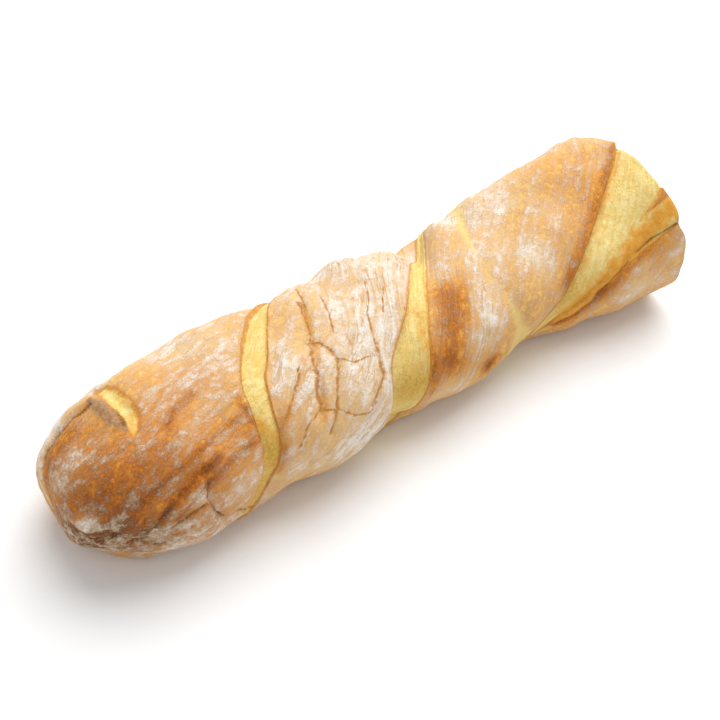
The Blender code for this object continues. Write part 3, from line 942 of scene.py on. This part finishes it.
# A bubble's middle lies behind the cut by this share of its depth.
BUBBLE_SINK = 0.25

# The crumb's face: how far it lies behind the rim, how uneven it is and how far in it slopes where the rim is
# torn. The waves: seed, count, shortest and longest.
FACE_DEPTH = 0.35
FACE_ROUGHNESS = 0.18
FACE_WAVES = (3, 30, 3.0, 14.0)
FACE_SLOPE_REACH = 9.0

# The grid of distances that the crumb is carved in: its spacing, how far from the surface it reaches, and how
# far past a bubble it is changed. A shell with fewer points than SPECK_POINTS is a loose speck.
VOXEL = 0.5
FIELD_EDGE = 2.0
CARVE_MARGIN = 1
SPECK_POINTS = 200

# Bubbles strewn at random: seed, count, the smallest size, the rest of the range and how rare large ones are
STREWN_SEED = 29
STREWN_COUNT = 900
STREWN_SMALLEST = 0.45
STREWN_RANGE = 2.2
STREWN_RARITY = 3.2
STREWN_LENGTH = (1.0, 1.7)
STREWN_DEPTH = (0.7, 1.2)


def strewn_bubbles():
    """Bubbles of all sizes that meet the cut, stretched and tilted at random."""
    draw = np.random.default_rng(STREWN_SEED)
    _, half_width, height, _ = STATIONS[-1]
    found = []
    for _ in range(STREWN_COUNT):
        size = STREWN_SMALLEST + STREWN_RANGE * draw.random() ** STREWN_RARITY
        angle = draw.uniform(0, 2 * math.pi)
        far = math.sqrt(draw.random())
        y = half_width * far * math.cos(angle)
        z = height / 2 * (1 + far * math.sin(angle))
        long = size * draw.uniform(*STREWN_LENGTH)
        found.append((y, z, long, size, size * draw.uniform(*STREWN_DEPTH), draw.uniform(-90, 90)))
    return found


def crust_reach(grid, x, turn):
    """How far the crust's outside is from the middle of the cut, at x and at each turn about it."""
    mid_y, mid_z = section_middle(CUT_X)
    back = np.clip(CUT_X - x, 0, CRUMB_DEPTH) / RING_SPACING
    ring = grid[-1 - int(round(back))]
    y, z = ring[:, 1] - mid_y, ring[:, 2] - mid_z
    order = np.argsort(np.arctan2(z, y))
    return np.interp(turn, np.arctan2(z, y)[order], np.hypot(y, z)[order], period=2 * math.pi)


def carve(body, lines, bubble):
    """Take one bubble out of the field of distances."""
    at_y, at_z, across, up, depth, tilt = bubble
    turn = math.radians(tilt)
    reach = max(across, up) + CARVE_MARGIN
    reaches = (depth + CARVE_MARGIN, reach, reach)
    at = (CUT_X - BUBBLE_SINK * depth, at_y, at_z)
    near = [np.abs(line - middle) < size for line, middle, size in zip(lines, at, reaches)]
    if not all(part.any() for part in near):
        return
    from_middle = [line[part] - middle for line, part, middle in zip(lines, near, at)]
    dx, dy, dz = np.meshgrid(*from_middle, indexing="ij")
    across_off = (dy * math.cos(turn) + dz * math.sin(turn)) / across
    up_off = (dz * math.cos(turn) - dy * math.sin(turn)) / up
    inside = (1 - np.sqrt((dx / depth) ** 2 + across_off**2 + up_off**2)) * min(across, up, depth)
    body[np.ix_(*near)] = np.maximum(body[np.ix_(*near)], inside)


def drop_loose_specks(made):
    """Delete the specks of crumb that neighbouring bubbles cut loose."""
    left = set(made.verts)
    loose = []
    while left:
        shell = [left.pop()]
        for here in shell:
            for edge in here.link_edges:
                near = edge.other_vert(here)
                if near in left:
                    left.remove(near)
                    shell.append(near)
        if len(shell) < SPECK_POINTS:
            loose += shell
    bmesh.ops.delete(made, geom=loose, context="VERTS")


def crumb_field(grid):
    """Distances from the crumb's surface with its bubbles carved out, and the lines of the field's grid."""
    rim = grid[-1]
    x_line = np.arange(CUT_X - CRUMB_DEPTH - 2 * VOXEL, CUT_X + 2 * VOXEL, VOXEL)
    y_line = np.arange(rim[:, 1].min(), rim[:, 1].max(), VOXEL)
    z_line = np.arange(rim[:, 2].min(), rim[:, 2].max(), VOXEL)
    y, z = np.meshgrid(y_line, z_line, indexing="ij")
    mid_y, mid_z = section_middle(CUT_X)
    turn = np.arctan2(z - mid_z, y - mid_y)
    far = np.hypot(y - mid_y, z - mid_z)
    edge = np.array([crust_reach(grid, x, turn) - far for x in x_line])
    roughness = FACE_ROUGHNESS * waves(np.stack([0 * y, y, z], -1), *FACE_WAVES)
    slope = torn_back(CUT_X, -90 - np.degrees(turn)) * bell(edge[-1], FACE_SLOPE_REACH)
    face = CUT_X - FACE_DEPTH + roughness - slope
    body = np.maximum(x_line[:, None, None] - face, CRUST_THICKNESS - CRUMB_OVERLAP - edge)
    body = np.maximum(body, CUT_X - CRUMB_DEPTH + 2 * CRUMB_OVERLAP - x_line[:, None, None])
    lines = (x_line, y_line, z_line)
    for bubble in (*BUBBLES, *strewn_bubbles()):
        carve(body, lines, bubble)
    return body, lines


def make_crumb(grid):
    """A slab of crumb behind the cut, with open bubbles."""
    body, lines = crumb_field(grid)
    field = openvdb.FloatGrid(FIELD_EDGE)
    field.copyFromArray(np.clip(body, -FIELD_EDGE, FIELD_EDGE).astype(np.float32))
    points, triangles, quads = field.convertToPolygons(isovalue=0.0, adaptivity=0.0)
    points = points * VOXEL + [line[0] for line in lines]
    mesh = mesh_from("loaf_crumb", points, [*triangles.tolist(), *quads.tolist()])
    made = bmesh.new()
    made.from_mesh(mesh)
    drop_loose_specks(made)
    bmesh.ops.recalc_face_normals(made, faces=made.faces)
    made.to_mesh(mesh)
    made.free()
    points = np.array([vertex.co for vertex in mesh.vertices]) / MM - FRAME_SHIFT
    off_y, off_z = (points[:, 1:] - section_middle(CUT_X)).T
    reach = crust_reach(grid, CUT_X, np.arctan2(off_z, off_y))
    add_attribute(mesh, "from_crust", reach - np.hypot(off_y, off_z))
    add_attribute(mesh, "sunk", CUT_X - points[:, 0])
    return add_object("loaf_crumb", mesh)


# Materials

# Places of the colour sockets on a Mix node
MIX_FIRST = 6
MIX_SECOND = 7
MIX_RESULT = 2


def colour(r, g, b):
    """A display colour, 0 to 255, as the linear values that shaders take."""
    linear = [((c / 255 + 0.055) / 1.055) ** 2.4 if c > 10 else c / 255 / 12.92 for c in (r, g, b)]
    return (*linear, 1.0)


# The bare crust and the dough in the splits, each shade with its place between 0 and 1
BAKED_SHADES = (
    (0.05, colour(246, 204, 130)),
    (0.3, colour(232, 164, 76)),
    (0.55, colour(204, 124, 42)),
    (0.8, colour(160, 88, 30)),
    (1.0, colour(108, 58, 24)),
)
DOUGH_SHADES = (
    (0.1, colour(238, 198, 104)),
    (0.5, colour(250, 222, 138)),
    (0.9, colour(254, 238, 178)),
)
# Duller, greyer dough: partly its own colour, partly painted shade
DULL_AND_SHADED_DOUGH = (colour(198, 150, 50), colour(228, 184, 74))
CAUGHT_DOUGH = colour(242, 174, 68)
DARKEST_DOUGH = colour(206, 130, 46)
SPLIT_EDGE = colour(226, 158, 70)
BESIDE_SPLIT = colour(212, 140, 58)
FOLD_DOUGH = colour(246, 218, 140)
FLOUR_FILM = colour(232, 204, 166)
THICK_FLOUR = colour(252, 246, 236)
NET_LINES = colour(206, 150, 84)
FLAP_GREY_AND_SHADE = (colour(142, 104, 74), colour(196, 162, 134))
CRACK_SHADES = (colour(218, 152, 68), colour(170, 104, 36))
CREASE_SHADE_COLOURS = (colour(170, 108, 44), colour(120, 70, 30))
CUT_CRUST = colour(214, 156, 84)
CRUMB_SHADES = (colour(242, 228, 172), colour(254, 249, 224))
DEEP_CRUMB_AND_SHADE = colour(228, 206, 126)
OUTER_CRUMB = colour(206, 146, 74)
FLOOR_COLOUR = (0.9, 0.9, 0.9, 1)

# The finish. Bumps are in metres, as is the scale of the light that spreads in the crumb.
CRUST_ROUGHNESS = 0.85
CRUST_SHINE = 0.25
CRUST_BUMP = 0.0005
CRUMB_BUMP = 0.0004
CRUMB_GLOW = 0.2
CRUMB_GLOW_RADIUS = (1.0, 0.7, 0.3)
CRUMB_GLOW_SCALE = 0.002
FLOOR_ROUGHNESS = 0.9
NOISE_MIDDLE = 0.5


class Shader:
    """A material's node tree, with short ways to add the nodes that the finishes use."""

    def __init__(self, name):
        self.material = bpy.data.materials.new(name)
        self.material.use_nodes = True
        self.tree = self.material.node_tree
        self.surface = self.tree.nodes["Principled BSDF"].inputs

    def node(self, kind, values, **settings):
        """A new node: each of its inputs takes a value or a link."""
        made = self.tree.nodes.new(kind)
        for key, value in settings.items():
            setattr(made, key, value)
        for name, value in values.items():
            self.feed(made.inputs[name], value)
        return made

    def feed(self, socket, value):
        if isinstance(value, bpy.types.NodeSocket):
            self.tree.links.new(value, socket)
        else:
            socket.default_value = value

    def number(self, name):
        return self.node("ShaderNodeAttribute", {}, attribute_name=name).outputs["Fac"]

    def vector(self, name):
        return self.node("ShaderNodeAttribute", {}, attribute_name=name).outputs["Vector"]

    def millimetres(self):
        """The place on the loaf, in millimetres."""
        place = self.node("ShaderNodeTexCoord", {}).outputs["Object"]
        return self.vectors("MULTIPLY", place, (1 / MM,) * 3)

    def math(self, operation, first, second):
        return self.node("ShaderNodeMath", {0: first, 1: second}, operation=operation).outputs[0]

    def vectors(self, operation, first, second):
        return self.node("ShaderNodeVectorMath", {0: first, 1: second}, operation=operation).outputs[0]

    def length(self, vector):
        return self.node("ShaderNodeVectorMath", {0: vector}, operation="LENGTH").outputs["Value"]

    def total(self, *terms):
        """The sum of terms, each a socket or a (socket, factor) pair."""
        sum_so_far = 0.0
        for term in terms:
            scaled = self.math("MULTIPLY", *term) if isinstance(term, tuple) else term
            sum_so_far = self.math("ADD", scaled, sum_so_far)
        return sum_so_far

    def noise(self, vector, size, detail=3.0, roughness=0.6, output=0):
        """Noise with features of about the given size."""
        values = {"Vector": vector, "Scale": 1 / size, "Detail": detail, "Roughness": roughness}
        return self.node("ShaderNodeTexNoise", values).outputs[output]

    def mottle(self, vector, size, detail=3.0, spread=0.13, roughness=0.6):
        """Blotches of about the given size, from 0 to 1."""
        noise = self.noise(vector, size, detail, roughness)
        return self.step(noise, NOISE_MIDDLE - spread, NOISE_MIDDLE + spread)

    def push(self, vector, size, detail, amounts):
        """Noise with a direction, by up to about half the amounts."""
        noise = self.noise(vector, size, detail, output=1)
        return self.vectors("MULTIPLY", self.vectors("SUBTRACT", noise, (NOISE_MIDDLE,) * 3), amounts)

    def net(self, vector, size):
        """Distance to the lines of an irregular net with cells of about the given size."""
        values = {"Vector": vector, "Scale": 1 / size}
        made = self.node("ShaderNodeTexVoronoi", values, feature="DISTANCE_TO_EDGE")
        return self.math("MULTIPLY", made.outputs["Distance"], size)

    def step(self, value, low, high):
        """From 0 at low to 1 at high, smoothly; low may be the larger."""
        ends = {"From Min": min(low, high), "From Max": max(low, high)}
        shares = {"To Min": float(low > high), "To Max": float(low < high)}
        values = {"Value": value, **ends, **shares}
        return self.node("ShaderNodeMapRange", values, interpolation_type="SMOOTHSTEP").outputs["Result"]

    def mix(self, share, first, second):
        values = {"Factor": share, MIX_FIRST: first, MIX_SECOND: second}
        return self.node("ShaderNodeMix", values, data_type="RGBA").outputs[MIX_RESULT]

    def tint(self, shade, value, low, high, most, second):
        """The shade with a second mixed in, by up to most of it, as the value goes from low to high."""
        return self.mix(self.math("MULTIPLY", self.step(value, low, high), most), shade, second)

    def ramp(self, value, stops):
        made = self.node("ShaderNodeValToRGB", {0: value})
        ramp = made.color_ramp
        while len(ramp.elements) < len(stops):
            ramp.elements.new(1.0)
        for element, (place, shade) in zip(ramp.elements, stops):
            element.position = place
            element.color = shade
        return made.outputs[0]

    def bump(self, height, distance):
        made = self.node("ShaderNodeBump", {"Distance": distance, "Height": height})
        self.feed(self.surface["Normal"], made.outputs["Normal"])


def baked_crust(s, broad, blotch, grain, fine):
    """The bare crust, from pale gold to red-brown."""
    baked = s.total(s.number("browned_and_shaded"), (broad, 0.2), (blotch, 0.24), (grain, 0.26), (fine, 0.1), -0.12)
    return s.ramp(baked, BAKED_SHADES)


def floured(s, shade, cover):
    """The crust under flour: first a thin film, then a thick white layer."""
    shade = s.tint(shade, cover, -0.18, 0.55, 0.66, FLOUR_FILM)
    return s.tint(shade, cover, 0.28, 1.08, 0.9, THICK_FLOUR)


def fine_nets(s, place, drawn):
    """Two nets of hair cracks, where the flour lies thick."""
    coarse_net = s.step(s.net(drawn, 5.5), 0.34, 0.1)
    fine_net = s.step(s.net(drawn, 2.1), 0.16, 0.04)
    nets = s.math("MAXIMUM", s.math("MULTIPLY", coarse_net, 0.6), s.math("MULTIPLY", fine_net, 0.4))
    thick = s.step(s.number("floured"), 0.25, 0.6)
    split_open = s.math("MULTIPLY", thick, s.step(s.noise(place, 7.0), 0.44, 0.56))
    return s.math("MULTIPLY", nets, split_open)


def open_dough(s, inside, blotch, grain, fine, streak):
    """The pale dough in a split: browner where it caught the heat, and duller and greyer low on the front,
    partly painted shade.
    """
    pale = s.ramp(s.total((fine, 0.3), (grain, 0.3), (streak, 0.4)), DOUGH_SHADES)
    dull_and_shaded = s.mix(s.step(s.total((grain, 0.6), (fine, 0.4)), 0.25, 0.6), *DULL_AND_SHADED_DOUGH)
    pale = s.mix(s.number("dulled_and_shaded"), pale, dull_and_shaded)
    caught = s.total(s.number("browned_and_shaded"), (blotch, 0.3), (grain, 0.16), (fine, 0.1), -0.28)
    pale = s.mix(s.step(caught, 0.02, 0.55), pale, CAUGHT_DOUGH)
    pale = s.tint(pale, caught, 0.5, 0.95, 0.7, DARKEST_DOUGH)
    return s.mix(s.step(inside, -0.2, 1.6), SPLIT_EDGE, pale)


def line_distances(s, place, blotch, grain, streak):
    """Distances from the cracks and from the lines of painted shade in the creases, in widths, made uneven so
    that the lines look grown.
    """
    push = s.push(place, 3.0, 3.0, (2.4, 2.4, 0.0))
    widening = s.total((grain, 0.4), (blotch, 0.5), (streak, 0.6), -0.55)
    moved = [s.vectors("ADD", s.vector(name), push) for name in ("crack", "crease_shade")]
    return [s.math("ADD", s.length(offset), widening) for offset in moved]


def crust_material():
    s = Shader("floured_crust")
    place = s.millimetres()
    strand = s.vector("strand")
    strand = s.vectors("ADD", strand, s.push(strand, 14.0, 2.0, (6.0, 6.0, 6.0)))
    drawn = s.vectors("MULTIPLY", strand, (1, 1, STRAND_STRETCH))
    broad = s.mottle(drawn, 8.0)
    blotch = s.mottle(place, 4.2, 5.0)
    grain = s.mottle(place, 1.7, 5.0, 0.16, 0.8)
    fine = s.mottle(place, 0.7, 3.0, 0.15, 0.8)
    streak = s.mottle(drawn, 2.8, 5.0, 0.15, 0.7)

    shade = baked_crust(s, broad, blotch, grain, fine)
    lie = s.total((broad, 0.36), (streak, 0.22), (blotch, 0.32), (grain, 0.28), (fine, 0.28), -0.63)
    shade = floured(s, shade, s.math("ADD", s.number("floured"), lie))
    nets = fine_nets(s, place, drawn)
    shade = s.mix(nets, shade, NET_LINES)

    ragged = s.total((blotch, 0.9), (grain, 0.8), -0.85)
    shade = s.tint(shade, s.total(s.number("fold"), ragged), -1.0, 2.4, 0.8, FOLD_DOUGH)
    inside = s.total(s.number("split"), ragged)
    shade = s.tint(shade, inside, -2.4, -0.3, 0.8, BESIDE_SPLIT)
    shade = s.mix(s.step(inside, -0.5, 0.2), shade, open_dough(s, inside, blotch, grain, fine, streak))
    # The flap's grey-brown: its floured edge, with painted shade on its rolled side
    flap_and_shade = s.total(s.number("flap_and_shade"), (blotch, 1.4), (grain, 0.8), -1.1)
    shade = s.tint(shade, flap_and_shade, -0.6, 1.0, 0.75, s.mix(grain, *FLAP_GREY_AND_SHADE))

    crack, crease_shade = line_distances(s, place, blotch, grain, streak)
    shade = s.tint(shade, crack, 1.6, 0.4, 0.75, CRACK_SHADES[0])
    shade = s.tint(shade, crack, 0.5, 0.1, 0.5, CRACK_SHADES[1])
    # Painted shade in the creases: a soft brown side and a darker middle
    shade = s.tint(shade, crease_shade, 2.4, 0.5, 0.5, CREASE_SHADE_COLOURS[0])
    shade = s.tint(shade, crease_shade, 0.7, 0.1, 0.7, CREASE_SHADE_COLOURS[1])
    s.feed(s.surface["Base Color"], s.mix(s.number("cut"), shade, CUT_CRUST))

    s.feed(s.surface["Roughness"], CRUST_ROUGHNESS)
    s.feed(s.surface["Specular IOR Level"], CRUST_SHINE)
    grooves = s.total((s.step(crack, 0.9, 0.1), -0.5), (s.step(crease_shade, 1.2, 0.1), -0.7), (nets, -0.35))
    s.bump(s.total((grain, 0.35), (fine, 0.15), (blotch, 0.5), (streak, 0.45), grooves), CRUST_BUMP)
    return s.material


def crumb_material():
    s = Shader("crumb")
    place = s.millimetres()
    grain = s.mottle(place, 1.1, 4.0)
    broad = s.mottle(place, 7.0)
    sunk = s.total(s.number("sunk"), (grain, 0.8))
    pale = s.mix(s.total((grain, 0.5), (broad, 0.5)), *CRUMB_SHADES)
    # Darker, yellower crumb deep in the bubbles: the glossy walls' own colour, partly painted shade in the
    # hollows
    shade = s.mix(s.step(sunk, 1.2, 5.0), pale, DEEP_CRUMB_AND_SHADE)
    near_crust = s.total(s.number("from_crust"), (grain, 2.0), (broad, 1.5))
    shade = s.mix(s.step(near_crust, 8.0, 3.5), shade, OUTER_CRUMB)
    s.feed(s.surface["Base Color"], shade)
    s.feed(s.surface["Roughness"], s.step(sunk, 5.0, 0.5))
    s.feed(s.surface["Subsurface Weight"], CRUMB_GLOW)
    s.feed(s.surface["Subsurface Radius"], CRUMB_GLOW_RADIUS)
    s.feed(s.surface["Subsurface Scale"], CRUMB_GLOW_SCALE)
    s.bump(grain, CRUMB_BUMP)
    return s.material


def floor_material():
    s = Shader("floor")
    s.feed(s.surface["Base Color"], FLOOR_COLOUR)
    s.feed(s.surface["Roughness"], FLOOR_ROUGHNESS)
    return s.material


# Camera, light and floor, in metres and degrees

LENS = 80.0
SENSOR_WIDTH = 36.0
CAMERA_ELEVATION = 50.0
CAMERA_AZIMUTH = -35.0
CAMERA_DISTANCE = 0.700
CAMERA_TARGET = (-0.0039, -0.0063, 0.030)
KEY_DISTANCE = 2.4
KEY_AZIMUTH = 124.0
KEY_ELEVATION = 58.0
KEY_SIZE = 2.6
KEY_POWER = 66.0
WORLD_STRENGTH = 0.6
WHITE = (1, 1, 1, 1)
FLOOR_SIZE = 8
FLOOR_GAP = 0.0002


def direction(azimuth, elevation):
    """From the loaf towards a place at that azimuth and elevation."""
    turn = math.radians(azimuth)
    rise = math.radians(elevation)
    return Vector((math.sin(turn) * math.cos(rise), -math.cos(turn) * math.cos(rise), math.sin(rise)))


def make_camera():
    data = bpy.data.cameras.new("camera")
    data.lens = LENS
    data.sensor_width = SENSOR_WIDTH
    camera = add_object("camera", data)
    back = direction(CAMERA_AZIMUTH, CAMERA_ELEVATION)
    camera.location = Vector(CAMERA_TARGET) + back * CAMERA_DISTANCE
    camera.rotation_euler = back.to_track_quat("Z", "Y").to_euler()
    bpy.context.scene.camera = camera


def make_light():
    data = bpy.data.lights.new("key", "AREA")
    data.shape = "DISK"
    data.size = KEY_SIZE
    data.energy = KEY_POWER
    light = add_object("key", data)
    way = direction(KEY_AZIMUTH, KEY_ELEVATION)
    light.location = way * KEY_DISTANCE
    light.rotation_euler = way.to_track_quat("Z", "Y").to_euler()


def make_surroundings():
    make_camera()
    make_light()
    world = bpy.data.worlds.new("world")
    world.use_nodes = True
    background = world.node_tree.nodes["Background"]
    background.inputs["Color"].default_value = WHITE
    background.inputs["Strength"].default_value = WORLD_STRENGTH
    bpy.context.scene.world = world
    bpy.ops.mesh.primitive_plane_add(size=FLOOR_SIZE, location=(0, 0, -FLOOR_GAP))
    floor = bpy.context.active_object
    floor.name = "floor"
    floor.data.materials.append(floor_material())
    bpy.context.scene.view_settings.view_transform = "Standard"


crust, grid = make_crust()
crust.data.materials.append(crust_material())
crumb = make_crumb(grid)
crumb.data.materials.append(crumb_material())
for piece in (crust, crumb):
    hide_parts("loaf")
    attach(piece, "root")
make_surroundings()
